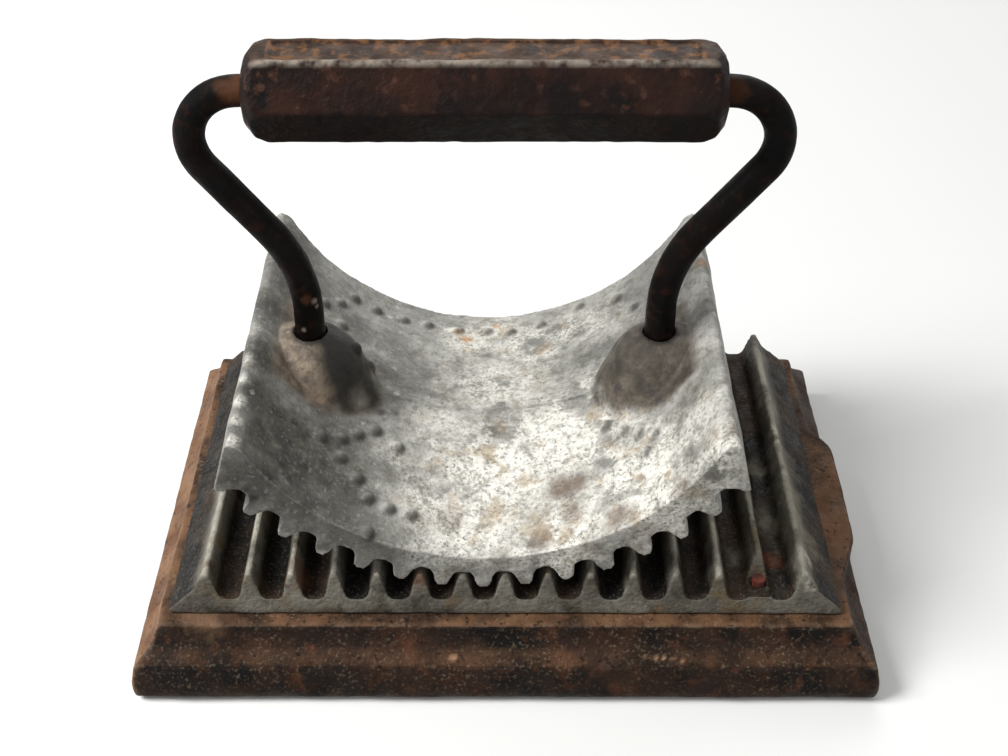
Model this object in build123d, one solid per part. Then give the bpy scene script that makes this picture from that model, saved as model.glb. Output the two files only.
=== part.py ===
from build123d import *
import os
from math import cos, degrees, radians, sin, sqrt, tan

# Rocker fluting iron, in millimetres.
# A hollow cast base carries a riveted bed plate with ridges that run front to back.
# A curved, toothed rocker stands on it and is rolled from side to side by its bail handle,
# so that damp starched cloth between the two takes the flutes.
# Frame: +X to the right along the base, +Y away from the user, +Z up.
# The origin is at the centre of the base, on the surface that it stands on.

# Base casting
BASE_LENGTH = 152.4
BASE_WIDTH = 100.4
LEDGE_HEIGHT = 16.7
LEDGE_SETBACK = 6.05
FOOT_EDGE_HEIGHT = 4.0
FOOT_HEIGHT = 9.2
FOOT_EDGE_SETBACK = 1.2
FOOT_CORNER_RADIUS = 2.2
FOOT_BOTTOM_ROUNDING = 3.0
FOOT_TOP_ROUNDING = 0.8
COVE_KNEE_HEIGHT = 13.1
COVE_KNEE_SETBACK = 5.25
COVE_RADIUS = 7.0
BASE_TOP_WALL = 5.0
BASE_SIDE_WALL = 8.2
HOLLOW_CORNER_RADIUS = 6.0

# Lug on the right side of the base
LUG_LENGTH = 29.5
LUG_MIDDLE_Y = -3.4
LUG_FRONT_TAPER = 13.0
LUG_BACK_TAPER = 7.0
LUG_ROOT = 4.0
LUG_CORNER_RADIUS = 6.0
LUG_TOP_ROUNDING = 1.0

# Bed plate
BED_END_MARGIN = 2.15
BED_FRONT_MARGIN = 3.0
BED_PITCH = 8.5
BED_FLOOR = 4.0
BED_EDGE_HEIGHT = 1.2
BED_SIDE_BAND = 8.0
BED_FRONT_SLOPE = 1.15
RIDGE_HEIGHT = 6.5
RIDGE_TIP_WIDTH = 1.1
RIDGE_BASE_WIDTH = 5.0
RIDGE_TIP_ROUNDING = 0.45
GROOVE_ROUNDING = 1.6
SHOULDER_RUN = 2.6
SHOULDER_DROP = 3.7
SHOULDER_ROUNDING = 1.5

# Rivets that hold the bed plate, and the broken ridge end that shows one of them
RIVET_DIAMETER = 2.6
RIVET_HEAD_DIAMETER = 5.6
RIVET_HEAD_HEIGHT = 2.2
RIVET_HEAD_CHAMFER = 1.3
RIVET_END_INSET = 4.0
RIVET_COVER = 4.0
RIVET_CLEARANCE = 0.05
RIVET_RIDGES_FROM_END = 1
BREAK_LENGTH = 7.0
BREAK_BELOW_RIVET_END = 1.3
BREAK_RISE = 1.4

# Rocker casting
ROCKER_WIDTH = 81.0
TOOTH_TIP_RADIUS = 62.5
TOOTH_HEIGHT = 4.2
TOOTH_TIP_WIDTH = 2.4
TOOTH_ROOT_WIDTH = 5.0
TOOTH_TIP_ROUNDING = 1.3
TOOTH_ROOT_ROUNDING = 1.6
TEETH_PER_SIDE = 7
SEAT_GAP = 0.6
END_FACE_LENGTH = 11.7
END_FACE_LEAN = 16.0
RIM_THICKNESS = 2.5  # before the tilt of the dish, which adds 0.4
RIM_ROUNDING = 1.4
RIM_TOP_WIDTH = 1.75
RIM_BEVEL_LEAN = 50.0
DISH_FLOOR = 8.7
DISH_CREASE = 4.2

# Handle bosses on the rocker
BOSS_SPREAD = 72.0
BOSS_HEIGHT = 30.8
BOSS_DIAMETER = 27.4
BOSS_DOME_HEIGHT = 16.4
BOSS_DOME_STEPS = 6
SOCKET_DEPTH = 8.0
SOCKET_CLEARANCE = 0.05
SOCKET_MOUTH_DIAMETER = 7.4
SOCKET_MOUTH_DEPTH = 1.2

# Handle rod
ROD_DIAMETER = 6.3
ROD_WAIST_RISE = 19.4
ROD_LEAN = 38.0
ROD_WAIST_RADIUS = 30.0
ROD_LOOP_RADIUS = 10.0
HANDLE_SHIFT = 0.6

# Grip
GRIP_RISE = 57.8
GRIP_LENGTH = 89.5
GRIP_ACROSS_FLATS = 16.6
GRIP_END_DOME = 5.0
GRIP_END_STEPS = 3
GRIP_BORE_CLEARANCE = 0.05
PANEL_LENGTH = 78.0
PANEL_WIDTH = 7.6
PANEL_DEPTH = 0.5
PANEL_CORNER_RADIUS = 1.2

# Values that follow from the sizes above
HOLLOW_TOP_Z = LEDGE_HEIGHT - BASE_TOP_WALL
BED_LENGTH = BASE_LENGTH - 2 * (LEDGE_SETBACK + BED_END_MARGIN)
BED_WIDTH = BASE_WIDTH - 2 * (LEDGE_SETBACK + BED_FRONT_MARGIN)
RIDGES_PER_SIDE = int((BED_LENGTH / 2 - BED_SIDE_BAND) / BED_PITCH)
GROOVE_FLOOR_Z = LEDGE_HEIGHT + BED_FLOOR
RIDGE_TIP_Z = GROOVE_FLOOR_Z + RIDGE_HEIGHT
RIVET_X = (RIDGES_PER_SIDE - RIVET_RIDGES_FROM_END) * BED_PITCH
RIVET_Y = BED_WIDTH / 2 - RIVET_END_INSET
RIVET_END_Z = RIDGE_TIP_Z - RIVET_COVER

# The rocker stands half a pitch to the left, so that its middle tooth is in a groove
ROCKER_X = -BED_PITCH / 2
TOOTH_TIP_Z = RIDGE_TIP_Z + SEAT_GAP - TOOTH_HEIGHT
TOOTH_ROOT_RADIUS = TOOTH_TIP_RADIUS - TOOTH_HEIGHT
TOOTH_ANGLE = degrees(BED_PITCH / TOOTH_TIP_RADIUS)
ROLL_CENTRE_Z = TOOTH_TIP_Z + TOOTH_TIP_RADIUS
END_ANGLE = radians(TEETH_PER_SIDE * TOOTH_ANGLE)
END_X = TOOTH_TIP_RADIUS * sin(END_ANGLE)
END_Z = ROLL_CENTRE_Z - TOOTH_TIP_RADIUS * cos(END_ANGLE)
RIM_X = END_X - END_FACE_LENGTH * sin(radians(END_FACE_LEAN))
RIM_Z = END_Z + END_FACE_LENGTH * cos(radians(END_FACE_LEAN))
DISH_HALF_CHORD = RIM_X - RIM_THICKNESS
DISH_FLOOR_Z = TOOTH_TIP_Z + DISH_FLOOR
BOSS_TOP_Z = TOOTH_TIP_Z + BOSS_HEIGHT
BOSS_X = BOSS_SPREAD / 2
GRIP_Z = BOSS_TOP_Z + GRIP_RISE
WAIST_Z = BOSS_TOP_Z + ROD_WAIST_RISE
LOOP_X = BOSS_X + (GRIP_Z - WAIST_Z) * tan(radians(ROD_LEAN))


def upright(diameter, bottom, top):
    """A vertical cylinder between two heights."""
    return Pos(0, 0, bottom) * Cylinder(diameter / 2, top - bottom, align=(Align.CENTER, Align.CENTER, Align.MIN))


def rounded_section(right_half):
    """A face made of corners (across, up, rounding) on the right and their mirror images."""
    left_half = [(-x, z, r) for x, z, r in reversed(right_half)]
    corners = right_half + left_half
    outline = FilletPolyline(*[(x, z) for x, z, r in corners], radius=[r for x, z, r in corners], close=True)
    return make_face(outline)


def plinth_section(half):
    """Foot, sloped cove and ledge across one direction of the base."""
    return rounded_section([
        (half, 0, FOOT_BOTTOM_ROUNDING),
        (half, FOOT_EDGE_HEIGHT, 0),
        (half - FOOT_EDGE_SETBACK, FOOT_HEIGHT, FOOT_TOP_ROUNDING),
        (half - COVE_KNEE_SETBACK, COVE_KNEE_HEIGHT, COVE_RADIUS),
        (half - LEDGE_SETBACK, LEDGE_HEIGHT, 0),
    ])


def make_plinth():
    """The moulding is mitred at the corners, where the two sections cross."""
    along = extrude(Plane.XZ * plinth_section(BASE_LENGTH / 2), BASE_WIDTH, both=True)
    across = extrude(Plane.YZ * plinth_section(BASE_WIDTH / 2), BASE_LENGTH, both=True)
    corners = extrude(RectangleRounded(BASE_LENGTH, BASE_WIDTH, FOOT_CORNER_RADIUS), LEDGE_HEIGHT)
    return along & across & corners


def make_lug():
    """A block that fills the cove out to the foot line, level with the ledge."""
    front = LUG_MIDDLE_Y - LUG_LENGTH / 2
    back = LUG_MIDDLE_Y + LUG_LENGTH / 2
    foot_x = BASE_LENGTH / 2 - FOOT_EDGE_SETBACK
    ledge_x = BASE_LENGTH / 2 - LEDGE_SETBACK
    outline = FilletPolyline(
        (ledge_x - LUG_ROOT, front - LUG_FRONT_TAPER),
        (ledge_x, front - LUG_FRONT_TAPER),
        (foot_x, front),
        (foot_x, back),
        (ledge_x, back + LUG_BACK_TAPER),
        (ledge_x - LUG_ROOT, back + LUG_BACK_TAPER),
        radius=[0, 0, LUG_CORNER_RADIUS, LUG_CORNER_RADIUS, 0, 0], close=True)
    lug = extrude(Pos(0, 0, FOOT_EDGE_HEIGHT / 2) * make_face(outline), LEDGE_HEIGHT - FOOT_EDGE_HEIGHT / 2)
    return fillet(lug.edges().group_by(Axis.Z)[-1], LUG_TOP_ROUNDING)


def make_hollow():
    """The open space under the base."""
    length = BASE_LENGTH - 2 * BASE_SIDE_WALL
    width = BASE_WIDTH - 2 * BASE_SIDE_WALL
    return extrude(RectangleRounded(length, width, HOLLOW_CORNER_RADIUS), HOLLOW_TOP_Z)


def rivet_places():
    return [Pos(x, y, 0) for x in (-RIVET_X, RIVET_X) for y in (-RIVET_Y, RIVET_Y)]


def rivet_hole(bottom, top):
    return upright(RIVET_DIAMETER + 2 * RIVET_CLEARANCE, bottom, top)


def make_base():
    base = make_plinth() + make_lug() - make_hollow()
    for place in rivet_places():
        base -= place * rivet_hole(HOLLOW_TOP_Z, LEDGE_HEIGHT)
    return base


def bed_section():
    """Fifteen ridges with round-bottomed grooves, and a sloped shoulder at each end."""
    edge_x = BED_LENGTH / 2
    corners = [(edge_x, LEDGE_HEIGHT, 0), (edge_x, LEDGE_HEIGHT + BED_EDGE_HEIGHT, 0)]
    last_x = RIDGES_PER_SIDE * BED_PITCH
    corners.append((last_x + SHOULDER_RUN, RIDGE_TIP_Z - SHOULDER_DROP, SHOULDER_ROUNDING))
    for ridge in range(RIDGES_PER_SIDE, 0, -1):
        x = ridge * BED_PITCH
        if ridge < RIDGES_PER_SIDE:
            corners.append((x + RIDGE_BASE_WIDTH / 2, GROOVE_FLOOR_Z, GROOVE_ROUNDING))
        corners.append((x + RIDGE_TIP_WIDTH / 2, RIDGE_TIP_Z, RIDGE_TIP_ROUNDING))
        corners.append((x - RIDGE_TIP_WIDTH / 2, RIDGE_TIP_Z, RIDGE_TIP_ROUNDING))
        corners.append((x - RIDGE_BASE_WIDTH / 2, GROOVE_FLOOR_Z, GROOVE_ROUNDING))
    corners.append((RIDGE_BASE_WIDTH / 2, GROOVE_FLOOR_Z, GROOVE_ROUNDING))
    corners.append((RIDGE_TIP_WIDTH / 2, RIDGE_TIP_Z, RIDGE_TIP_ROUNDING))
    return rounded_section(corners)


def make_break():
    """The ridge end that has broken away over the front right rivet."""
    front = -BED_WIDTH / 2
    floor = RIVET_END_Z - BREAK_BELOW_RIVET_END
    top = RIDGE_TIP_Z + 1
    outline = Polyline(
        (front - 1, top),
        (front - 1, floor - BREAK_RISE / 2),
        (front + BREAK_LENGTH * 0.4, floor),
        (front + BREAK_LENGTH * 0.8, floor - BREAK_RISE / 4),
        (front + BREAK_LENGTH * 0.9, floor + BREAK_RISE),
        (front + BREAK_LENGTH, top), close=True)
    return Pos(RIVET_X, 0, 0) * extrude(Plane.YZ * make_face(outline), BED_PITCH / 2, both=True)


def make_bed():
    """The ridge section runs front to back and is cut by the slope of the front and back faces."""
    bottom = BED_WIDTH / 2
    side = rounded_section([
        (bottom, LEDGE_HEIGHT, 0),
        (bottom, LEDGE_HEIGHT + BED_EDGE_HEIGHT, 0),
        (bottom - BED_FRONT_SLOPE, RIDGE_TIP_Z + 1, 0),
    ])
    bed = extrude(Plane.XZ * bed_section(), BED_WIDTH, both=True)
    bed &= extrude(Plane.YZ * side, BED_LENGTH, both=True)
    for place in rivet_places():
        bed -= place * rivet_hole(LEDGE_HEIGHT, RIVET_END_Z + RIVET_CLEARANCE)
    return bed - make_break()


def make_rivet():
    """A round shank with a pan head that bears on the underside of the base's top wall."""
    head = upright(RIVET_HEAD_DIAMETER, HOLLOW_TOP_Z - RIVET_HEAD_HEIGHT, HOLLOW_TOP_Z)
    head = chamfer(head.edges().group_by(Axis.Z)[0], RIVET_HEAD_CHAMFER)
    return head + upright(RIVET_DIAMETER, HOLLOW_TOP_Z, RIVET_END_Z)


def arc_point(radius, sideways, angle):
    """A point at a radius below the rolling centre, moved along the arc by a width."""
    turn = radians(angle) + sideways / radius
    return (radius * sin(turn), ROLL_CENTRE_Z - radius * cos(turn))


def rocker_section():
    """The toothed arc, the leaning end faces, and rims that are rounded towards a closed middle."""
    bevel_run = (RIM_Z - BOSS_TOP_Z) * tan(radians(RIM_BEVEL_LEAN))
    corners = [
        (RIM_X - RIM_TOP_WIDTH - bevel_run, BOSS_TOP_Z, 0),
        (RIM_X - RIM_TOP_WIDTH, RIM_Z, RIM_ROUNDING),
        (RIM_X, RIM_Z, RIM_ROUNDING),
        (END_X, END_Z, RIM_ROUNDING),
    ]
    for tooth in range(TEETH_PER_SIDE, 0, -1):
        angle = tooth * TOOTH_ANGLE
        if tooth < TEETH_PER_SIDE:
            corners.append((*arc_point(TOOTH_ROOT_RADIUS, TOOTH_ROOT_WIDTH / 2, angle), TOOTH_ROOT_ROUNDING))
            corners.append((*arc_point(TOOTH_TIP_RADIUS, TOOTH_TIP_WIDTH / 2, angle), TOOTH_TIP_ROUNDING))
        corners.append((*arc_point(TOOTH_TIP_RADIUS, -TOOTH_TIP_WIDTH / 2, angle), TOOTH_TIP_ROUNDING / 2))
        corners.append((*arc_point(TOOTH_ROOT_RADIUS, -TOOTH_ROOT_WIDTH / 2, angle), TOOTH_ROOT_ROUNDING))
    corners.append((*arc_point(TOOTH_ROOT_RADIUS, TOOTH_ROOT_WIDTH / 2, 0), TOOTH_ROOT_ROUNDING))
    corners.append((*arc_point(TOOTH_TIP_RADIUS, TOOTH_TIP_WIDTH / 2, 0), TOOTH_TIP_ROUNDING))
    return rounded_section(corners)


def dish_section(floor_z, y):
    """Centre and radius of the circle through both rims and a floor height, at one place along Y."""
    sagitta = RIM_Z - floor_z
    radius = (DISH_HALF_CHORD ** 2 + sagitta ** 2) / (2 * sagitta)
    return Vector(0, y, floor_z + radius), radius


def make_dish():
    """The hollow above the rocker: two leaning cones that meet in the crease between the bosses."""
    end, end_radius = dish_section(DISH_FLOOR_Z, -ROCKER_WIDTH / 2)
    crease, crease_radius = dish_section(DISH_FLOOR_Z + DISH_CREASE, 0)
    axis = crease - end
    widening = (crease_radius - end_radius) / axis.length
    over = ROCKER_WIDTH / 2
    cone = Cone(end_radius - widening * over, crease_radius + widening * over, axis.length + 2 * over)
    cone = Plane((end + crease) / 2, z_dir=axis) * cone
    front = Pos(0, -ROCKER_WIDTH / 2, ROLL_CENTRE_Z) * Box(ROCKER_WIDTH * 2, ROCKER_WIDTH, ROCKER_WIDTH * 2)
    half = cone & front
    return half + mirror(half, Plane.XZ)


def quarter_ellipse(across, up, steps):
    """Points from the side of an ellipse to its top, close enough to read as a curve."""
    angles = [radians(90 * step / steps) for step in range(steps + 1)]
    return [(across * cos(angle), up * sin(angle)) for angle in angles]


def make_boss():
    """A dome, with a straight part below it that reaches into the casting."""
    dome = quarter_ellipse(BOSS_DIAMETER / 2, BOSS_DOME_HEIGHT, BOSS_DOME_STEPS)
    dome_z = BOSS_TOP_Z - BOSS_DOME_HEIGHT
    outline = [(0, DISH_FLOOR_Z), (BOSS_DIAMETER / 2, DISH_FLOOR_Z)] + [(x, dome_z + z) for x, z in dome]
    return revolve(make_face(Plane.XZ * Polyline(*outline, close=True)), Axis.Z)


def make_rocker():
    rocker = extrude(Plane.XZ * rocker_section(), ROCKER_WIDTH / 2, both=True)
    dish = make_dish()
    mouth = upright(SOCKET_MOUTH_DIAMETER, BOSS_TOP_Z - SOCKET_MOUTH_DEPTH, RIM_Z + 1)
    socket = upright(ROD_DIAMETER + 2 * SOCKET_CLEARANCE, BOSS_TOP_Z - SOCKET_DEPTH - SOCKET_CLEARANCE, BOSS_TOP_Z)
    for x in (-BOSS_X, BOSS_X):
        dish -= Pos(x, 0, 0) * make_boss()
    rocker -= dish
    for x in (-BOSS_X, BOSS_X):
        rocker -= Pos(x, 0, 0) * (mouth + socket)
    return Pos(ROCKER_X, 0, 0) * rocker


def make_rod():
    """Up from both bosses, out over the rocker and round into the level part inside the grip."""
    end_z = BOSS_TOP_Z - SOCKET_DEPTH
    path = FilletPolyline(
        (-BOSS_X, 0, end_z), (-BOSS_X, 0, WAIST_Z), (HANDLE_SHIFT - LOOP_X, 0, GRIP_Z),
        (HANDLE_SHIFT + LOOP_X, 0, GRIP_Z), (BOSS_X, 0, WAIST_Z), (BOSS_X, 0, end_z),
        radius=[ROD_WAIST_RADIUS, ROD_LOOP_RADIUS, ROD_LOOP_RADIUS, ROD_WAIST_RADIUS])
    start = Plane((-BOSS_X, 0, end_z), z_dir=(0, 0, 1))
    return Pos(ROCKER_X, 0, 0) * sweep(start * Circle(ROD_DIAMETER / 2), path=path)


def make_round_bar():
    """A round bar along X with domed ends, as wide as the grip is across its corners."""
    across = GRIP_ACROSS_FLATS / sqrt(3)
    flat_end = GRIP_ACROSS_FLATS / 2 - GRIP_END_DOME
    dome = quarter_ellipse(GRIP_END_DOME, across - flat_end, GRIP_END_STEPS)
    right_end = [(GRIP_LENGTH / 2 - GRIP_END_DOME + x, flat_end + z) for x, z in dome]
    left_end = [(-x, z) for x, z in reversed(right_end)]
    outline = [(GRIP_LENGTH / 2, 0)] + right_end + left_end + [(-GRIP_LENGTH / 2, 0)]
    return revolve(make_face(Plane.XZ * Polyline(*outline, close=True)), Axis.X)


def make_grip():
    """A six-sided bar with domed ends and a shallow bare panel along its top flat."""
    hexagon = RegularPolygon(GRIP_ACROSS_FLATS / 2, 6, major_radius=False)
    bar = extrude(Plane.YZ * hexagon, GRIP_LENGTH / 2, both=True)
    grip = bar & make_round_bar()
    grip -= Rot(0, 90, 0) * Cylinder(ROD_DIAMETER / 2 + GRIP_BORE_CLEARANCE, GRIP_LENGTH)
    panel = Pos(0, 0, GRIP_ACROSS_FLATS / 2 - PANEL_DEPTH) * extrude(
        RectangleRounded(PANEL_LENGTH, PANEL_WIDTH, PANEL_CORNER_RADIUS), PANEL_DEPTH)
    return Pos(ROCKER_X + HANDLE_SHIFT, 0, GRIP_Z) * (grip - panel)


nodes = {
    "base_casting": make_base(),
    "bed_plate": make_bed(),
    "bed_rivets": Compound(children=[place * make_rivet() for place in rivet_places()]),
    "rocker_casting": make_rocker(),
    "handle_rod": make_rod(),
    "grip": make_grip(),
}

os.makedirs("parts", exist_ok=True)
for name, shape in nodes.items():
    export_step(shape, os.path.join("parts", name + ".step"))
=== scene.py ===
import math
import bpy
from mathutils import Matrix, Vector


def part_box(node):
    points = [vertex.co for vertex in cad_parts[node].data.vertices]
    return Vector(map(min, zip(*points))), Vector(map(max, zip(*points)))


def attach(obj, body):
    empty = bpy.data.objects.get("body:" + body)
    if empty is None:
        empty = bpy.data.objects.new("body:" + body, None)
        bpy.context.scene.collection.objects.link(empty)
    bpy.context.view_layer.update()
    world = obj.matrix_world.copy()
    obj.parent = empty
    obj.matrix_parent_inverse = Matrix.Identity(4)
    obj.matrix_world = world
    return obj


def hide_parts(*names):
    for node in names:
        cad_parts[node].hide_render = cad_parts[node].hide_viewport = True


bl_info = {
    "name": "Rocker fluting iron",
    "version": (1, 0, 0),
    "blender": (4, 5, 0),
    "location": "View3D > Sidebar > Fluting iron",
    "description": "Gives the packed fluting iron its cast surfaces, wear and rust, and sets a plain stage",
    "category": "Object",
}

import bpy
import numpy as np
from bpy.props import FloatProperty, FloatVectorProperty, PointerProperty
from mathutils import Matrix, Vector
from mathutils.bvhtree import BVHTree

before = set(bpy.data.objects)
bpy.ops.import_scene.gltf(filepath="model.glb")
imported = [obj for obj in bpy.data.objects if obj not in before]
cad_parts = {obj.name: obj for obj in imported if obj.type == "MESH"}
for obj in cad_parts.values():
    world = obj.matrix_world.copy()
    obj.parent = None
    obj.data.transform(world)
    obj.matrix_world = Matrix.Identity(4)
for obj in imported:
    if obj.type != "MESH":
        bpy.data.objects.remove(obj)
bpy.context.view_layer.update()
MM = 0.001
PHOTO_WIDTH = 1008
PHOTO_HEIGHT = 756

# The rocker as part.py has it, in millimetres: its place along X, how far out its bosses
# stand, the rod in them, and the circle through the roots of the teeth
ROCKER_X = -4.25
BOSS_OUT = 36.0
ROD_RADIUS = 3.15
ROLL_CENTRE_Z = 84.6
TOOTH_ROOT_RADIUS = 58.3
TOOTH_COVER = 1.5

# The bosses as the photograph shows them, in millimetres: a rounded hump from foot to peak,
# steeper than a dome, that leans out to the end wall of the dish
BOSS_REACH = 13.9
BOSS_FOOT = 35.0
BOSS_PEAK = 57.8
BOSS_FULLNESS = 2.5
BOSS_ROUNDING = 0.667
BOSS_SPREAD_MIDDLE = 0.72
BOSS_SPREAD_SIDES = 0.28
BOSS_SPREAD_RUN = 3.0
SOCKET_GAP = 0.12
SOCKET_RIM = 0.7
SOCKET_DEPTH = 6.0


def linear(hex_colour):
    """An sRGB hex value as linear red, green and blue with full alpha."""
    values = [int(hex_colour[i:i + 2], 16) / 255 for i in (1, 3, 5)]
    return [v / 12.92 if v <= 0.04045 else ((v + 0.055) / 1.055) ** 2.4 for v in values] + [1.0]


def add(tree, kind, inputs=None, **settings):
    """Adds one node with its settings, its values and its links."""
    node = tree.nodes.new(kind)
    for name, value in settings.items():
        setattr(node, name, value)
    for name, value in (inputs or {}).items():
        if isinstance(value, bpy.types.NodeSocket):
            tree.links.new(value, node.inputs[name])
        else:
            node.inputs[name].default_value = value
    return node


def start_material(name):
    """An empty node tree and the object coordinates in millimetres."""
    material = bpy.data.materials.new(name)
    material.use_nodes = True
    tree = material.node_tree
    tree.nodes.clear()
    coords = add(tree, "ShaderNodeTexCoord").outputs["Object"]
    scaled = add(tree, "ShaderNodeVectorMath", {0: coords, "Scale": 1 / MM}, operation="SCALE")
    return material, tree, scaled.outputs[0]


def patches(tree, where, size, low, high, detail=3.0, rough=0.55, seed=0.0):
    """A mask of soft patches about as wide as size, in millimetres, from 0 at low to 1 at high."""
    noise = add(tree, "ShaderNodeTexNoise", {
        "Vector": where, "W": seed, "Scale": 0.5 / size, "Detail": detail, "Roughness": rough},
        noise_dimensions="4D")
    return between(tree, noise.outputs["Fac"], low, high)


def between(tree, value, low, high):
    """0 where value is at low and 1 where it is at high, held within 0 and 1."""
    return add(tree, "ShaderNodeMapRange", {"Value": value, "From Min": low, "From Max": high}).outputs[0]


def times(tree, first, *others):
    """The product of masks and strengths."""
    for other in others:
        first = add(tree, "ShaderNodeMath", {0: first, 1: other}, operation="MULTIPLY").outputs[0]
    return first


def coat(tree, under, colour, mask):
    """One colour laid over another where the mask is white."""
    return add(tree, "ShaderNodeMix", {0: mask, 6: under, 7: colour}, data_type="RGBA").outputs[2]


def tint(tree, under, hex_colour, mask, *others):
    """A hex colour laid over another where all of the masks are white."""
    return coat(tree, under, linear(hex_colour), times(tree, mask, *others))


def painted(tree, name):
    """A mask that was painted on the piece's own points."""
    return add(tree, "ShaderNodeAttribute", attribute_name=name).outputs["Fac"]


def finish_material(material, tree, colour, rough, height, depth, metallic=0.0, specular=0.5):
    """Joins colour, roughness and a relief of the given depth, in millimetres, to the surface."""
    relief = add(tree, "ShaderNodeBump", {"Height": height, "Distance": depth * MM, "Strength": 1.0})
    surface = add(tree, "ShaderNodeBsdfPrincipled", {
        "Base Color": colour, "Roughness": rough, "Metallic": metallic,
        "Specular IOR Level": specular, "Normal": relief.outputs[0]})
    add(tree, "ShaderNodeOutputMaterial", {"Surface": surface.outputs[0]})
    return material


def facing(tree):
    """The surface's own direction, as separate X, Y and Z."""
    normal = add(tree, "ShaderNodeNewGeometry").outputs["True Normal"]
    return add(tree, "ShaderNodeSeparateXYZ", {0: normal}).outputs


def arris(tree, low, high):
    """A mask of the raised edges, where handling wears a casting bright."""
    return between(tree, add(tree, "ShaderNodeNewGeometry").outputs["Pointiness"], low, high)


# Old cast iron, poured in sand and once blackened: a near-black, finely speckled front,
# brown rust on what faces up, painted light in orange-brown on the left side and painted shade in dark brown
# on the right side.
def blackened_cast_iron():
    material, tree, where = start_material("sand-cast iron, blackened and rusted")
    face = facing(tree)
    skin = coat(tree, linear("#1c1410"), linear("#35241b"), patches(tree, where, 8, 0.42, 0.6))
    skin = tint(tree, skin, "#0a0807", patches(tree, where, 4.5, 0.5, 0.62, seed=3.1))
    skin = tint(tree, skin, "#4a2f21", patches(tree, where, 2.4, 0.56, 0.68, seed=6.2))
    upward = between(tree, face["Z"], 0.6, 0.95)
    rust = coat(tree, linear("#3b2c21"), linear("#7b5a41"), patches(tree, where, 5, 0.4, 0.6, seed=7.7))
    skin = coat(tree, skin, rust, times(tree, upward, 0.9))
    # Painted light: the faces turned to the left are coloured a lighter orange-brown
    leftward = between(tree, face["X"], -0.25, -0.7)
    lit_left = coat(tree, linear("#6b4c38"), linear("#8f6d52"), patches(tree, where, 4, 0.4, 0.6, seed=2.0))
    skin = coat(tree, skin, lit_left, times(tree, leftward, 0.95))
    # Painted shade: the faces turned to the right are darkened to dark brown
    rightward = between(tree, face["X"], 0.25, 0.7)
    skin = tint(tree, skin, "#2a180d", rightward, patches(tree, where, 7, 0.2, 0.5, seed=5.0), 0.9)
    worn = times(tree, arris(tree, 0.51, 0.56), patches(tree, where, 2, 0.45, 0.62, seed=8.0))
    skin = tint(tree, skin, "#8f7a66", worn, 0.5)
    specks = patches(tree, where, 0.35, 0.54, 0.72, detail=4.0, seed=9.0)
    skin = tint(tree, skin, "#9a8873", specks, patches(tree, where, 6, 0.3, 0.6, seed=1.5), 0.5)
    pits = patches(tree, where, 0.6, 0.58, 0.66, detail=3.0, seed=4.4)
    skin = tint(tree, skin, "#070505", pits, 0.7)
    skin = tint(tree, skin, "#15100e", painted(tree, "dark"))
    skin = tint(tree, skin, "#b08a6c", painted(tree, "bright"))
    grain = patches(tree, where, 0.6, 0.2, 0.8, detail=4.0)
    rough = between(tree, patches(tree, where, 2.5, 0.3, 0.7, seed=4.0), -1.2, 1.6)
    return finish_material(material, tree, skin, rough, grain, 0.25, specular=0.12)


# Bare cast iron gone dull grey-green, with painted shade, near black with brown patches, in the grooves
# and bright metal where the rocker has rubbed the ridges.
def dull_cast_iron():
    material, tree, where = start_material("sand-cast iron, bare and dulled")
    height = add(tree, "ShaderNodeSeparateXYZ", {0: where}).outputs["Z"]
    face = facing(tree)
    skin = coat(tree, linear("#66625a"), linear("#8b877b"), patches(tree, where, 6, 0.4, 0.62))
    skin = tint(tree, skin, "#4b463c", patches(tree, where, 2.2, 0.52, 0.68, seed=2.0))
    skin = tint(tree, skin, "#75664f", patches(tree, where, 3.5, 0.55, 0.7, seed=12.0))
    sideways = add(tree, "ShaderNodeMath", {0: face["Y"]}, operation="ABSOLUTE")
    outer = between(tree, sideways.outputs[0], 0.5, 0.9)
    # Painted shade: the grooves, by height, are darkened to near black
    groove = times(tree, between(tree, height, 25.4, 22.4), between(tree, outer, 1.0, 0.0))
    groove_shade = coat(tree, linear("#0b0908"), linear("#33261c"), patches(tree, where, 4, 0.45, 0.62, seed=6.0))
    skin = coat(tree, skin, groove_shade, times(tree, groove, 0.98))
    rubbed = times(tree, between(tree, height, 25.6, 26.8), patches(tree, where, 2.4, 0.38, 0.58, seed=1.0))
    skin = tint(tree, skin, "#bdb8a9", rubbed, 0.75)
    skin = tint(tree, skin, "#2c2822", patches(tree, where, 0.35, 0.5, 0.7, detail=4.0, seed=8.0), 0.35)
    skin = tint(tree, skin, "#c9c3b2", patches(tree, where, 0.3, 0.54, 0.72, detail=4.0, seed=9.0), 0.15)
    skin = tint(tree, skin, "#8f897a", painted(tree, "pale"),
                patches(tree, where, 2.5, 0.34, 0.56, seed=19.0))
    skin = tint(tree, skin, "#0e0c0a", painted(tree, "dark"))
    # Painted highlight: near-white glints on a few ridge tips
    skin = tint(tree, skin, "#e4decd", painted(tree, "bright"), patches(tree, where, 0.8, 0.4, 0.55))
    skin = tint(tree, skin, "#7a4427", painted(tree, "stain"))
    grain = patches(tree, where, 0.5, 0.2, 0.8, detail=4.0)
    rough = between(tree, patches(tree, where, 2.0, 0.3, 0.7, seed=4.0), -1.4, 1.7)
    return finish_material(material, tree, skin, rough, grain, 0.22, metallic=0.1, specular=0.15)
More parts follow.
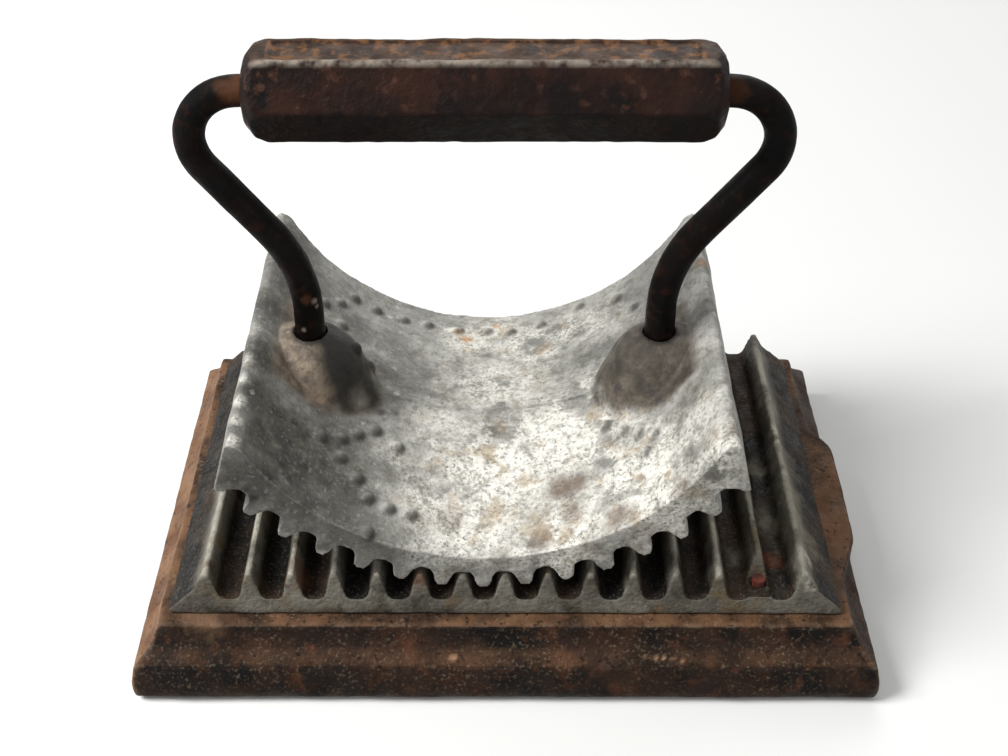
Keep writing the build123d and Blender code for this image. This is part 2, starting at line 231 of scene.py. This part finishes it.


# Cast iron that has been scoured bright over and over: finely speckled, nearly white in
# the middle and on the right, partly as a painted highlight, painted shade in dark grey on the left,
# with brown stains around the handle.
def scoured_cast_iron():
    material, tree, where = start_material("sand-cast iron, scoured bright and stained")
    skin = coat(tree, linear("#8e8d88"), linear("#b9b7b0"), patches(tree, where, 6, 0.38, 0.62))
    skin = tint(tree, skin, "#77766f", patches(tree, where, 3, 0.5, 0.66, seed=3.0))
    # Painted shade: the dish darkened to dark grey, mostly over its left side
    dish_shade = coat(tree, linear("#262521"), linear("#4a4840"), patches(tree, where, 1.6, 0.4, 0.62, seed=14.0))
    skin = coat(tree, skin, dish_shade, painted(tree, "dish_shade"))
    speckle = patches(tree, where, 0.42, 0.38, 0.56, detail=4.0, rough=0.7, seed=5.0)
    broad = patches(tree, where, 3.2, 0.34, 0.52, detail=3.0, seed=15.0)
    # Partly scoured metal and partly painted highlight: the bright marks turned near white
    scoured_and_highlight = times(tree, painted(tree, "bright"), between(tree, times(tree, speckle, broad), 0.02, 0.55))
    skin = tint(tree, skin, "#f3f0e6", scoured_and_highlight)
    tinted = times(tree, painted(tree, "bright"), patches(tree, where, 2.6, 0.54, 0.64, seed=16.0))
    skin = tint(tree, skin, "#a8926f", tinted, 0.65)
    mottled = patches(tree, where, 1.0, 0.48, 0.64, detail=6.0, rough=0.75, seed=26.0)
    skin = tint(tree, skin, "#6f6a5e", mottled, 0.7)
    skin = tint(tree, skin, "#26231f", patches(tree, where, 0.35, 0.5, 0.72, detail=5.0, seed=8.0), 0.3)
    skin = tint(tree, skin, "#f6f4ee", patches(tree, where, 0.4, 0.54, 0.76, detail=6.0, seed=18.0), 0.25)
    worn = times(tree, arris(tree, 0.52, 0.58), patches(tree, where, 1.5, 0.36, 0.55, seed=17.0))
    skin = tint(tree, skin, "#eceae3", worn, 0.45)
    # Painted shade round the pellets, heaviest on their lower right
    skin = tint(tree, skin, "#2a2722", painted(tree, "pellet_shade"))
    # Painted shade along the crease
    skin = tint(tree, skin, "#3b3a35", painted(tree, "crease"))
    brown = tint(tree, linear("#5b4e43"), "#94836f",
                 patches(tree, where, 0.9, 0.38, 0.62, detail=5.0, seed=1.0))
    skin = coat(tree, skin, brown, painted(tree, "boss"))
    skin = tint(tree, skin, "#14120e", painted(tree, "boss_shade"))
    skin = tint(tree, skin, "#66513e", painted(tree, "stain"))
    skin = tint(tree, skin, "#b5824a", painted(tree, "rust"),
                patches(tree, where, 0.6, 0.36, 0.56, seed=27.0))
    skin = tint(tree, skin, "#12110f", painted(tree, "dark"))
    skin = tint(tree, skin, "#1a1815", painted(tree, "socket"))
    grain = patches(tree, where, 0.45, 0.2, 0.8, detail=5.0, rough=0.65)
    rough = between(tree, patches(tree, where, 1.2, 0.3, 0.7, seed=4.0), -1.3, 1.9)
    return finish_material(material, tree, skin, rough, grain, 0.2, metallic=0.1, specular=0.3)


# Wrought rod with a hard black oxide, browner where hands and weather reach it.
def oxidised_rod():
    material, tree, where = start_material("wrought iron rod, black oxide")
    skin = coat(tree, linear("#040303"), linear("#0f0a08"), patches(tree, where, 5, 0.42, 0.62))
    skin = tint(tree, skin, "#2f1a12", patches(tree, where, 1.3, 0.54, 0.7, seed=2.0), 0.6)
    skin = tint(tree, skin, "#6a4631", painted(tree, "stain"))
    skin = tint(tree, skin, "#b9aa97", painted(tree, "bright"))
    grain = patches(tree, where, 0.7, 0.2, 0.8, detail=4.0)
    rough = between(tree, patches(tree, where, 3.0, 0.3, 0.7, seed=4.0), -1.0, 1.6)
    return finish_material(material, tree, skin, rough, grain, 0.14, specular=0.07)


# Cast grip with a pitted brown-black skin, rubbed grey along its upper front edge,
# and dry brown rust in the panel where no hand reaches; painted shade makes the facets facing down near
# black.
def handled_cast_iron():
    material, tree, where = start_material("sand-cast iron, handled and pitted")
    face = facing(tree)
    skin = coat(tree, linear("#180e0b"), linear("#301c15"), patches(tree, where, 7, 0.42, 0.58))
    skin = tint(tree, skin, "#0b0807", patches(tree, where, 2.5, 0.52, 0.66, seed=2.0))
    skin = tint(tree, skin, "#5b3d30", patches(tree, where, 1.2, 0.58, 0.7, seed=9.0), 0.5)
    upward = between(tree, face["Z"], 0.7, 0.95)
    brown = coat(tree, linear("#2b1f18"), linear("#4c392c"), patches(tree, where, 2.2, 0.4, 0.6, seed=3.0))
    skin = coat(tree, skin, brown, upward)
    skin = tint(tree, skin, "#7c5636", painted(tree, "panel"),
                patches(tree, where, 1.5, 0.5, 0.62, seed=6.0), 0.75)
    # Painted shade: the facets facing down turned near black
    skin = tint(tree, skin, "#0a0707", between(tree, face["Z"], -0.2, -0.6), 0.95)
    skin = tint(tree, skin, "#9b9084", painted(tree, "worn"), patches(tree, where, 1.6, 0.36, 0.56), 0.8)
    skin = tint(tree, skin, "#060505", painted(tree, "dark"))
    grain = patches(tree, where, 0.7, 0.2, 0.8, detail=4.0)
    rough = between(tree, patches(tree, where, 2.0, 0.3, 0.7, seed=4.0), -0.9, 1.9)
    return finish_material(material, tree, skin, rough, grain, 0.22, specular=0.1)


# Rivet ends rusted dark red.
def rusted_rivet():
    material, tree, where = start_material("wrought iron rivet, rusted")
    skin = coat(tree, linear("#3c140e"), linear("#6b2c1a"), patches(tree, where, 1.0, 0.4, 0.6))
    grain = patches(tree, where, 0.5, 0.2, 0.8, detail=3.0)
    return finish_material(material, tree, skin, 0.75, grain, 0.15)


def cast_noise(points, size, seed):
    """Smooth noise from -1 to 1 at points in millimetres, with lumps about as wide as size."""
    lattice = np.random.RandomState(seed).uniform(-1, 1, (32, 32, 32))
    scaled = points / size + seed * 0.37
    cell = np.floor(scaled).astype(int)
    part = scaled - cell
    part = part * part * (3 - 2 * part)
    total = np.zeros(len(points))
    for corner in range(8):
        step = np.array([corner & 1, corner >> 1 & 1, corner >> 2 & 1])
        weight = np.where(step, part, 1 - part).prod(axis=1)
        index = (cell + step) % 32
        total += weight * lattice[index[:, 0], index[:, 1], index[:, 2]]
    return total


class Casting:
    """A fine copy of one CAD node, whose points can be moved and painted, in millimetres."""

    def __init__(self, node, name, grain):
        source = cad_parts[node]
        self.piece = bpy.data.objects.new(name, source.data.copy())
        bpy.context.scene.collection.objects.link(self.piece)
        shell = self.piece.modifiers.new("fine shell", "REMESH")
        shell.mode = "VOXEL"
        shell.voxel_size = grain * MM
        shell.adaptivity = 0.0
        graph = bpy.context.evaluated_depsgraph_get()
        mesh = bpy.data.meshes.new_from_object(self.piece.evaluated_get(graph), depsgraph=graph)
        self.piece.modifiers.clear()
        self.piece.data = mesh
        mesh.name = name
        mesh.materials.clear()
        self.read()

    def read(self):
        mesh = self.piece.data
        count = len(mesh.vertices)
        points = np.empty(count * 3)
        mesh.vertices.foreach_get("co", points)
        self.points = points.reshape(-1, 3) / MM
        normals = np.empty(count * 3)
        mesh.vertex_normals.foreach_get("vector", normals)
        self.normals = normals.reshape(-1, 3)

    def write(self):
        mesh = self.piece.data
        mesh.vertices.foreach_set("co", (self.points * MM).ravel())
        mesh.update()
        self.read()

    def smooth(self, rounds):
        """Rounds the arrises a little, as sand casting does."""
        easing = self.piece.modifiers.new("eased arrises", "SMOOTH")
        easing.factor = 0.5
        easing.iterations = rounds
        graph = bpy.context.evaluated_depsgraph_get()
        mesh = bpy.data.meshes.new_from_object(self.piece.evaluated_get(graph), depsgraph=graph)
        self.piece.modifiers.clear()
        self.piece.data = mesh
        self.read()

    def roughen(self, size, height, seed, where=None):
        """Lumps and deeper hollows of one size, on all of the piece or where the mask says."""
        push = (cast_noise(self.points, size, seed) - 0.5) * height
        if where is not None:
            push = push * where
        self.points += self.normals * push[:, None]

    def dent(self, middle, radius, depth):
        """A round hollow, or with a negative depth a round lump, about a point on the surface."""
        away = np.linalg.norm(self.points - np.array(middle), axis=1)
        inside = away < radius
        fall = (1 - (away[inside] / radius) ** 2) ** 0.8
        self.points[inside] -= self.normals[inside] * (fall * depth)[:, None]

    def spots(self, name, places):
        """Paints a mask from places (point, radius, strength), soft and uneven at the edge."""
        mask = np.zeros(len(self.points))
        uneven = 1 + 0.35 * cast_noise(self.points, 2.2, 11) + 0.2 * cast_noise(self.points, 0.9, 12)
        for point, radius, strength in places:
            away = np.linalg.norm(self.points - np.array(point), axis=1) * uneven
            fall = np.clip(1.25 - away / radius, 0, 1)
            mask = np.maximum(mask, fall * fall * (3 - 2 * fall) * strength)
        self.paint(name, mask)

    def mark(self, looks, marks):
        """Paints each mask where the photograph shows its marks on this piece."""
        tree = self.tree()
        for name, places in marks.items():
            self.spots(name, seen_spots(looks, tree, places))

    def paint(self, name, mask):
        layer = self.piece.data.attributes.new(name, "FLOAT", "POINT")
        layer.data.foreach_set("value", np.clip(mask, 0, 1).astype(np.float32))

    def tree(self):
        mesh = self.piece.data
        return BVHTree.FromPolygons([v.co[:] for v in mesh.vertices], [p.vertices[:] for p in mesh.polygons])

    def seat(self, material, body, node):
        """Gives the piece its finish and its body, and hides the CAD node."""
        self.piece.data.materials.append(material)
        for polygon in self.piece.data.polygons:
            polygon.use_smooth = True
        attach(self.piece, body)
        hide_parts(node)


def camera_matrix(looks):
    """The photographer's stand: placed in millimetres, tilted down, with a trace of turn and roll."""
    tilt = Matrix.Rotation(math.radians(90 - looks.camera_pitch), 4, "X")
    turn = Matrix.Rotation(math.radians(looks.camera_turn), 4, "Z")
    roll = Matrix.Rotation(math.radians(looks.camera_roll), 4, "Z")
    return Matrix.Translation(Vector(looks.camera_place) * MM) @ turn @ tilt @ roll


def seen_at(looks, tree, across, down):
    """The point of a piece that the photograph shows at a pixel, in millimetres, or None."""
    matrix = camera_matrix(looks)
    focal = looks.camera_lens / 36 * PHOTO_WIDTH
    ray = Vector((across - PHOTO_WIDTH / 2, PHOTO_HEIGHT / 2 - down, -focal)).normalized()
    point, normal, face, distance = tree.ray_cast(matrix.translation, matrix.to_3x3() @ ray)
    return None if point is None else np.array(point) / MM


def seen_spots(looks, tree, marks):
    """Marks (across, down, radius, strength) as places on the piece; one that misses is left out."""
    places = [(seen_at(looks, tree, x, y), radius, strength) for x, y, radius, strength in marks]
    return [place for place in places if place[0] is not None]


class FlutingIronLooks(bpy.types.PropertyGroup):
    camera_place: FloatVectorProperty(
        name="Camera place", description="Camera position in millimetres",
        default=(0.59, -244.96, 238.0))
    camera_pitch: FloatProperty(
        name="Camera pitch", description="How far the camera looks down, in degrees", default=38.23)
    camera_turn: FloatProperty(
        name="Camera turn", description="Turn about the vertical, in degrees", default=0.21)
    camera_roll: FloatProperty(
        name="Camera roll", description="Roll about the line of sight, in degrees", default=-0.08)
    camera_lens: FloatProperty(
        name="Camera lens", description="Focal length on a 36 mm wide sensor", default=52.58)
    floor_colour: FloatVectorProperty(
        name="Floor colour", description="Pale studio floor", subtype="COLOR", size=4,
        default=linear("#f7f7f5"))
    floor_bounce: FloatVectorProperty(
        name="Floor bounce", description="Colour with which the floor lights the object",
        subtype="COLOR", size=4, default=linear("#53514e"))
    key_power: FloatProperty(name="Key light", description="Power in watts", default=6.4)
    fill_power: FloatProperty(name="Fill light", description="Power in watts", default=0.8)
    back_power: FloatProperty(name="Back light", description="Power in watts", default=1.6)
    sky_strength: FloatProperty(name="Sky", description="Even light from all round", default=0.3)


class FlutingIronSizes(bpy.types.PropertyGroup):
    base_grain: FloatProperty(
        name="Base mesh", description="Spacing of the base casting's points in millimetres", default=0.75)
    bed_grain: FloatProperty(
        name="Bed mesh", description="Spacing of the bed plate's points in millimetres", default=0.42)
    rocker_grain: FloatProperty(
        name="Rocker mesh", description="Spacing of the rocker's points in millimetres", default=0.5)
    handle_grain: FloatProperty(
        name="Handle mesh", description="Spacing of the rod's and grip's points in millimetres", default=0.42)
    pellet_radius: FloatProperty(
        name="Pellet radius", description="Radius of the round ornament in millimetres", default=1.65)
    pellet_height: FloatProperty(
        name="Pellet height", description="Height of the round ornament in millimetres", default=0.9)


# What the photograph shows on each piece, as pixel across, pixel down, radius in mm and strength
BASE_MARKS = {
    "dark": [(846, 500, 7, 0.8), (838, 470, 5, 0.6)],
    "bright": [
        (453, 658, 0.8, 1.0), (646, 657, 0.5, 0.8), (655, 658, 0.5, 0.9), (664, 658, 0.5, 0.9),
        (673, 659, 0.5, 0.8), (682, 661, 0.5, 0.7), (205, 620, 4, 0.3), (190, 612, 3, 0.3)],
}

BED_MARKS = {
    "dark": [(771, 562, 1.0, 0.9), (779, 568, 1.0, 0.9), (785, 574, 0.9, 0.8)],
    # On the bed the bright marks are painted highlights on ridge tips
    "bright": [(776, 430, 2.0, 0.5), (780, 444, 1.6, 0.5), (808, 560, 2.0, 0.6), (812, 585, 2.0, 0.6)],
    "pale": [
        (775, 455, 6, 0.6), (788, 490, 7, 0.7), (800, 530, 7, 0.7), (772, 520, 5, 0.6),
        (762, 470, 4, 0.5), (740, 560, 4, 0.4), (232, 430, 5, 0.4), (225, 480, 5, 0.4)],
    "stain": [(770, 560, 3, 0.5), (300, 575, 4, 0.4), (420, 580, 3, 0.4)],
}

ROD_MARKS = {
    "stain": [(236, 92, 4, 0.6), (306, 300, 1.2, 0.4), (735, 92, 3, 0.4)],
    "bright": [(315, 301, 0.7, 0.6), (317, 306, 0.5, 0.6), (304, 330, 0.5, 0.4)],
}

GRIP_MARKS = {
    "dark": [(480, 95, 5, 0.6), (520, 92, 6, 0.7), (560, 96, 5, 0.6), (600, 90, 4, 0.5), (450, 100, 4, 0.4)],
}


class FLUTING_OT_base(bpy.types.Operator):
    """Adds the base casting with its worn, rusted skin"""
    bl_idname = "fluting.base"
    bl_label = "Base casting"

    def execute(self, context):
        looks, sizes = context.scene.fluting_looks, context.scene.fluting_sizes
        base = Casting("base_casting", "base_casting_worn", sizes.base_grain)
        base.smooth(2)
        base.roughen(7, 0.16, 1)
        base.roughen(2.2, 0.07, 2)
        base.write()
        base.mark(looks, BASE_MARKS)
        base.seat(blackened_cast_iron(), "base", "base_casting")
        return {"FINISHED"}


class FLUTING_OT_bed(bpy.types.Operator):
    """Adds the ridged bed plate with its roughened skin and its crack painted dark"""
    bl_idname = "fluting.bed"
    bl_label = "Bed plate"

    def execute(self, context):
        looks, sizes = context.scene.fluting_looks, context.scene.fluting_sizes
        bed = Casting("bed_plate", "bed_plate_worn", sizes.bed_grain)
        bed.smooth(1)
        bed.roughen(5, 0.14, 3)
        bed.roughen(1.8, 0.08, 4)
        bed.write()
        bed.mark(looks, BED_MARKS)
        bed.seat(dull_cast_iron(), "base", "bed_plate")
        return {"FINISHED"}


class FLUTING_OT_rivets(bpy.types.Operator):
    """Gives the rivets their rusted finish"""
    bl_idname = "fluting.rivets"
    bl_label = "Rivets"

    def execute(self, context):
        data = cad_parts["bed_rivets"].data
        data.materials.clear()
        data.materials.append(rusted_rivet())
        return {"FINISHED"}


# The round ornament on the inner face, by where the photograph shows each pellet
PELLETS = [
    (355, 298), (341, 303), (376, 310), (403, 320), (325, 303), (342, 325), (357, 348), (371, 367),
    (427, 325), (457, 331), (486, 332), (578, 307), (616, 299), (633, 307), (509, 332), (539, 325),
    (321, 436), (341, 438), (357, 434), (375, 430), (397, 447), (340, 457), (357, 478), (367, 498),
    (388, 508), (410, 514), (367, 532), (605, 426), (622, 431), (637, 434), (653, 435), (644, 452),
]


# What the photograph shows on the rocker, in the same way
ROCKER_MARKS = {
    # Painted shade, dark grey, mostly on the left of the dish
    "dish_shade": [
        (258, 400, 8, 0.85), (262, 440, 9, 0.9), (285, 430, 9, 0.95), (290, 465, 10, 0.95),
        (255, 480, 9, 0.9), (320, 470, 10, 0.85), (300, 500, 10, 0.85), (340, 500, 9, 0.7),
        (340, 430, 9, 0.7), (350, 530, 9, 0.65),
        (380, 540, 8, 0.6), (262, 300, 9, 0.8), (285, 280, 9, 0.7), (300, 250, 8, 0.6), (400, 470, 7, 0.4),
        (255, 350, 7, 0.8), (275, 260, 7, 0.7), (240, 500, 7, 0.8), (270, 520, 8, 0.8), (310, 545, 7, 0.6),
        (380, 370, 8, 0.6), (400, 350, 7, 0.5), (360, 330, 6, 0.5), (320, 290, 6, 0.5), (385, 400, 6, 0.6),
        (610, 395, 5, 0.4), (665, 430, 6, 0.45), (690, 400, 6, 0.45), (720, 290, 5, 0.4), (505, 420, 5, 0.35),
        (700, 320, 6, 0.35), (712, 360, 5, 0.3)],
    "bright": [
        (470, 340, 8, 0.9), (500, 330, 6, 0.9), (530, 345, 10, 1.0), (565, 330, 7, 0.9),
        (590, 325, 8, 0.8), (500, 385, 14, 0.85), (440, 420, 8, 0.5), (500, 470, 18, 1.0),
        (470, 520, 14, 1.0), (560, 540, 14, 1.0), (600, 430, 12, 0.9), (640, 480, 17, 1.0),
        (700, 420, 8, 0.7), (720, 450, 9, 0.9), (670, 510, 13, 1.0), (560, 440, 16, 1.0), (620, 320, 6, 0.5),
        (590, 390, 10, 0.8), (715, 480, 8, 0.8), (430, 500, 10, 0.75), (395, 460, 5, 0.5), (430, 555, 6, 0.6),
        (240, 380, 2, 0.7), (238, 400, 2, 0.7), (236, 420, 2, 0.7), (233, 440, 2, 0.7), (245, 360, 2, 0.5),
        (720, 300, 4, 0.4), (735, 400, 4, 0.7), (745, 440, 4, 0.8)],
    "stain": [
        (562, 487, 4, 0.75), (578, 482, 3, 0.7), (570, 512, 3.2, 0.6), (620, 515, 3.4, 0.7),
        (615, 522, 2.6, 0.6), (680, 488, 3, 0.55), (540, 540, 3.6, 0.5), (450, 520, 3.4, 0.45),
        (590, 545, 3, 0.4), (735, 430, 2.2, 0.5),
        (425, 520, 2.6, 0.35), (650, 530, 2.4, 0.4)],
    "rust": [
        (467, 340, 1.9, 0.9), (460, 333, 1.4, 0.7), (498, 325, 1.4, 0.8), (702, 262, 2.2, 0.5),
        (470, 350, 1.3, 0.6)],
    "dark": [
        (253, 498, 1.5, 0.9), (246, 490, 1.3, 0.7), (382, 412, 1.2, 0.7), (395, 414, 1.0, 0.5),
        (706, 300, 1.0, 0.3)],
}


class FLUTING_OT_rocker(bpy.types.Operator):
    """Adds the toothed rocker with its pellets, bosses, stains, scoured patches partly painted as highlight,
    and painted shade
    """
    bl_idname = "fluting.rocker"
    bl_label = "Rocker casting"

    def execute(self, context):
        looks, sizes = context.scene.fluting_looks, context.scene.fluting_sizes
        rocker = Casting("rocker_casting", "rocker_casting_worn", sizes.rocker_grain)
        rocker.smooth(4)
        self.fill_bosses(rocker)
        rocker.roughen(8, 0.2, 5)
        rocker.roughen(2.5, 0.1, 6)
        rocker.write()
        tree = rocker.tree()
        pellets = [seen_at(looks, tree, across, down) for across, down in PELLETS]
        for place in pellets:
            rocker.dent(place, sizes.pellet_radius, -sizes.pellet_height)
        rocker.write()
        # Painted shade: a dark band round each pellet, heaviest on the side turned away from the light
        pellet_shade = np.zeros(len(rocker.points))
        for place in pellets:
            away = rocker.points - place
            reach = np.linalg.norm(away, axis=1)
            shaded = np.clip(0.35 + 0.65 * (away[:, 0] - away[:, 1]) / np.maximum(reach, 0.1), 0, 1)
            pellet_shade = np.maximum(pellet_shade, np.exp(-((reach - sizes.pellet_radius * 0.8) / 0.7) ** 2) * shaded * 0.75)
        rocker.paint("pellet_shade", pellet_shade)
        rocker.mark(looks, ROCKER_MARKS)
        self.paint_bosses(rocker)
        rocker.seat(scoured_cast_iron(), "rocker", "rocker_casting")
        return {"FINISHED"}

    def fill_bosses(self, rocker):
        """Draws the top of both bosses up around the rod, and leaves teeth and end faces alone."""
        across, height = rocker.points[:, 1], rocker.points[:, 2]
        for side in (-1, 1):
            out = (rocker.points[:, 0] - ROCKER_X) * side - BOSS_OUT
            reach = np.hypot(out, across)
            leaning = out * (BOSS_SPREAD_MIDDLE - BOSS_SPREAD_SIDES * np.tanh(out / BOSS_SPREAD_RUN))
            part = np.clip(1 - (np.hypot(leaning, across) / BOSS_REACH) ** BOSS_FULLNESS, 0, 1)
            shape = BOSS_FOOT + (BOSS_PEAK - BOSS_FOOT) * part ** BOSS_ROUNDING
            from_centre = np.hypot(rocker.points[:, 0] - ROCKER_X, height - ROLL_CENTRE_Z)
            above_teeth = from_centre < TOOTH_ROOT_RADIUS - TOOTH_COVER
            end_face = (out > 5) & (rocker.normals[:, 0] * side > 0.6)
            socket = reach < ROD_RADIUS + SOCKET_RIM
            upper = (rocker.normals[:, 2] > 0.05) & ~socket | socket & (height > BOSS_PEAK - SOCKET_DEPTH)
            upper &= above_teeth & ~end_face & (part > 0) & (reach > ROD_RADIUS + SOCKET_GAP)
            height[upper] = np.maximum(height[upper], shape[upper])

    def paint_bosses(self, rocker):
        """Paints the brown bosses with painted shade on their inner sides and over the right boss, painted
        shade along the crease between them, and the sockets.
        """
        points = rocker.points
        left = np.hypot(points[:, 0] - ROCKER_X + BOSS_OUT, points[:, 1])
        right = np.hypot(points[:, 0] - ROCKER_X - BOSS_OUT, points[:, 1])
        uneven = cast_noise(points, 4, 21) * 1.5
        reach = np.minimum(left, right)
        out = abs(points[:, 0] - ROCKER_X) - BOSS_OUT
        on_boss = np.clip((14.2 - reach + uneven) / 2.2, 0, 1) * (points[:, 2] > 37)
        on_boss *= np.clip((7.5 - out) / 2.0, 0, 1)
        line = points[:, 0] - ROCKER_X + BOSS_OUT + 0.5 * np.minimum(points[:, 1] + 3.0, 0)
        inward = np.clip((line + 1.5 + 0.6 * uneven) / 4.0, 0, 1) * (left < 16)
        far = np.clip(0.55 + 0.15 * cast_noise(points, 2, 25), 0, 1) * (right < 16)
        on_dish = (rocker.normals[:, 2] > 0.3) & (points[:, 2] < 50)
        # Painted shade: a dark line along the crease down the middle of the dish
        crease = np.exp(-((points[:, 1] + 0.4 * cast_noise(points, 6, 23)) / 0.55) ** 2)
        rocker.paint("crease", crease * on_dish * (0.45 + 0.4 * cast_noise(points, 3, 24)))
        rocker.paint("boss", on_boss * np.where(left < right, 0.9, 0.75))
        rocker.paint("boss_shade", on_boss * np.maximum(inward * 0.97, far * 1.2))
        rocker.paint("socket", np.clip((ROD_RADIUS + 1.3 - reach) / 0.7, 0, 1) * (points[:, 2] > 50) * 0.85)


class FLUTING_OT_handle(bpy.types.Operator):
    """Adds the bent rod and the six-sided grip"""
    bl_idname = "fluting.handle"
    bl_label = "Rod and grip"

    def execute(self, context):
        looks, sizes = context.scene.fluting_looks, context.scene.fluting_sizes
        rod = Casting("handle_rod", "handle_rod_worn", sizes.handle_grain)
        rod.roughen(9, 0.1, 7)
        rod.roughen(2.5, 0.04, 8)
        rod.write()
        rod.mark(looks, ROD_MARKS)
        rod.seat(oxidised_rod(), "rocker", "handle_rod")

        grip = Casting("grip", "grip_worn", sizes.handle_grain)
        grip.smooth(2)
        grip.roughen(8, 0.16, 9)
        grip.roughen(2.0, 0.09, 10)
        grip.write()
        low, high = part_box("grip")
        top = high[2] / MM
        length = (high[0] - low[0]) / MM
        x = grip.points[:, 0] - (high[0] + low[0]) / 2 / MM
        on_top = (grip.points[:, 2] > top - 1.0) & (abs(grip.points[:, 1]) < 4.2) & (abs(x) < length / 2 - 5)
        grip.paint("panel", on_top * 0.9)
        side = (high[2] - low[2]) / MM / math.sqrt(3)
        from_edge = np.hypot(grip.points[:, 1] + side / 2, grip.points[:, 2] - top)
        grip.paint("worn", np.clip(1.5 - from_edge / 0.9, 0, 1))
        grip.mark(looks, GRIP_MARKS)
        grip.seat(handled_cast_iron(), "rocker", "grip")
        return {"FINISHED"}


def seen_directly(tree):
    """1 for camera and glossy rays, and the light path's outputs."""
    rays = add(tree, "ShaderNodeLightPath").outputs
    seen = add(tree, "ShaderNodeMath", {0: rays["Is Camera Ray"], 1: rays["Is Glossy Ray"]},
               operation="MAXIMUM")
    return seen.outputs[0], rays


class FLUTING_OT_stage(bpy.types.Operator):
    """Adds the pale floor, the studio lights and the camera"""
    bl_idname = "fluting.stage"
    bl_label = "Stage"

    def execute(self, context):
        looks = context.scene.fluting_looks
        self.floor(looks)
        self.lights(context.scene, looks)
        camera = bpy.data.cameras.new("photo_camera")
        camera.sensor_width = 36
        camera.lens = looks.camera_lens
        camera.clip_start = 0.01
        camera_object = bpy.data.objects.new("photo_camera", camera)
        camera_object.matrix_world = camera_matrix(looks)
        context.scene.collection.objects.link(camera_object)
        context.scene.camera = camera_object
        context.scene.view_settings.view_transform = "Standard"
        return {"FINISHED"}

    def floor(self, looks):
        mesh = bpy.data.meshes.new("floor")
        reach = 2.5
        corners = [(-reach, -reach, 0), (reach, -reach, 0), (reach, reach, 0), (-reach, reach, 0)]
        mesh.from_pydata(corners, [], [(0, 1, 2, 3)])
        floor = bpy.data.objects.new("floor", mesh)
        bpy.context.scene.collection.objects.link(floor)
        material = bpy.data.materials.new("matt painted board, pale")
        material.use_nodes = True
        tree = material.node_tree
        tree.nodes.clear()
        seen, rays = seen_directly(tree)
        shade = coat(tree, looks.floor_bounce, looks.floor_colour, seen)
        surface = add(tree, "ShaderNodeBsdfPrincipled", {
            "Base Color": shade, "Roughness": 0.9, "Specular IOR Level": 0.1})
        add(tree, "ShaderNodeOutputMaterial", {"Surface": surface.outputs[0]})
        mesh.materials.append(material)

    def lights(self, scene, looks):
        places = [
            ("key", (-0.50, -0.16, 0.60), 0.30, looks.key_power),
            ("fill", (0.40, -0.60, 0.45), 0.6, looks.fill_power),
            ("back", (0.10, 0.60, 0.55), 0.5, looks.back_power),
        ]
        for name, place, size, power in places:
            lamp = bpy.data.lights.new(name, "AREA")
            lamp.size = size
            lamp.energy = power
            lamp_object = bpy.data.objects.new(name, lamp)
            lamp_object.location = place
            aim = Vector((0, 0, 0.05)) - Vector(place)
            lamp_object.rotation_euler = aim.to_track_quat("-Z", "Y").to_euler()
            scene.collection.objects.link(lamp_object)
        world = bpy.data.worlds.new("studio")
        world.use_nodes = True
        tree = world.node_tree
        tree.nodes.clear()
        seen, rays = seen_directly(tree)
        seen = add(tree, "ShaderNodeMath", {0: seen, 1: rays["Is Transmission Ray"]}, operation="MAXIMUM")
        even = add(tree, "ShaderNodeBackground", {"Color": (1, 1, 1, 1), "Strength": looks.sky_strength})
        white = add(tree, "ShaderNodeBackground", {"Color": (1, 1, 1, 1), "Strength": 1.0})
        mixed = add(tree, "ShaderNodeMixShader", {
            0: seen.outputs[0], 1: even.outputs[0], 2: white.outputs[0]})
        add(tree, "ShaderNodeOutputWorld", {"Surface": mixed.outputs[0]})
        scene.world = world


class FLUTING_PT_panel(bpy.types.Panel):
    bl_idname = "FLUTING_PT_panel"
    bl_label = "Fluting iron"
    bl_space_type = "VIEW_3D"
    bl_region_type = "UI"
    bl_category = "Fluting iron"

    def draw(self, context):
        for group in (context.scene.fluting_sizes, context.scene.fluting_looks):
            for name in group.__annotations__:
                self.layout.prop(group, name)
        for piece in PIECES:
            self.layout.operator(piece.bl_idname)


PIECES = (
    FLUTING_OT_stage, FLUTING_OT_base, FLUTING_OT_bed, FLUTING_OT_rivets, FLUTING_OT_rocker,
    FLUTING_OT_handle)
GROUPS = (FlutingIronLooks, FlutingIronSizes)


def register():
    for group in GROUPS + PIECES + (FLUTING_PT_panel,):
        bpy.utils.register_class(group)
    bpy.types.Scene.fluting_looks = PointerProperty(type=FlutingIronLooks)
    bpy.types.Scene.fluting_sizes = PointerProperty(type=FlutingIronSizes)


def unregister():
    del bpy.types.Scene.fluting_sizes
    del bpy.types.Scene.fluting_looks
    for group in reversed(GROUPS + PIECES + (FLUTING_PT_panel,)):
        bpy.utils.unregister_class(group)


def main():
    register()
    bpy.ops.fluting.stage()
    bpy.ops.fluting.base()
    bpy.ops.fluting.bed()
    bpy.ops.fluting.rivets()
    bpy.ops.fluting.rocker()
    bpy.ops.fluting.handle()


if __name__ == "__main__":
    main()
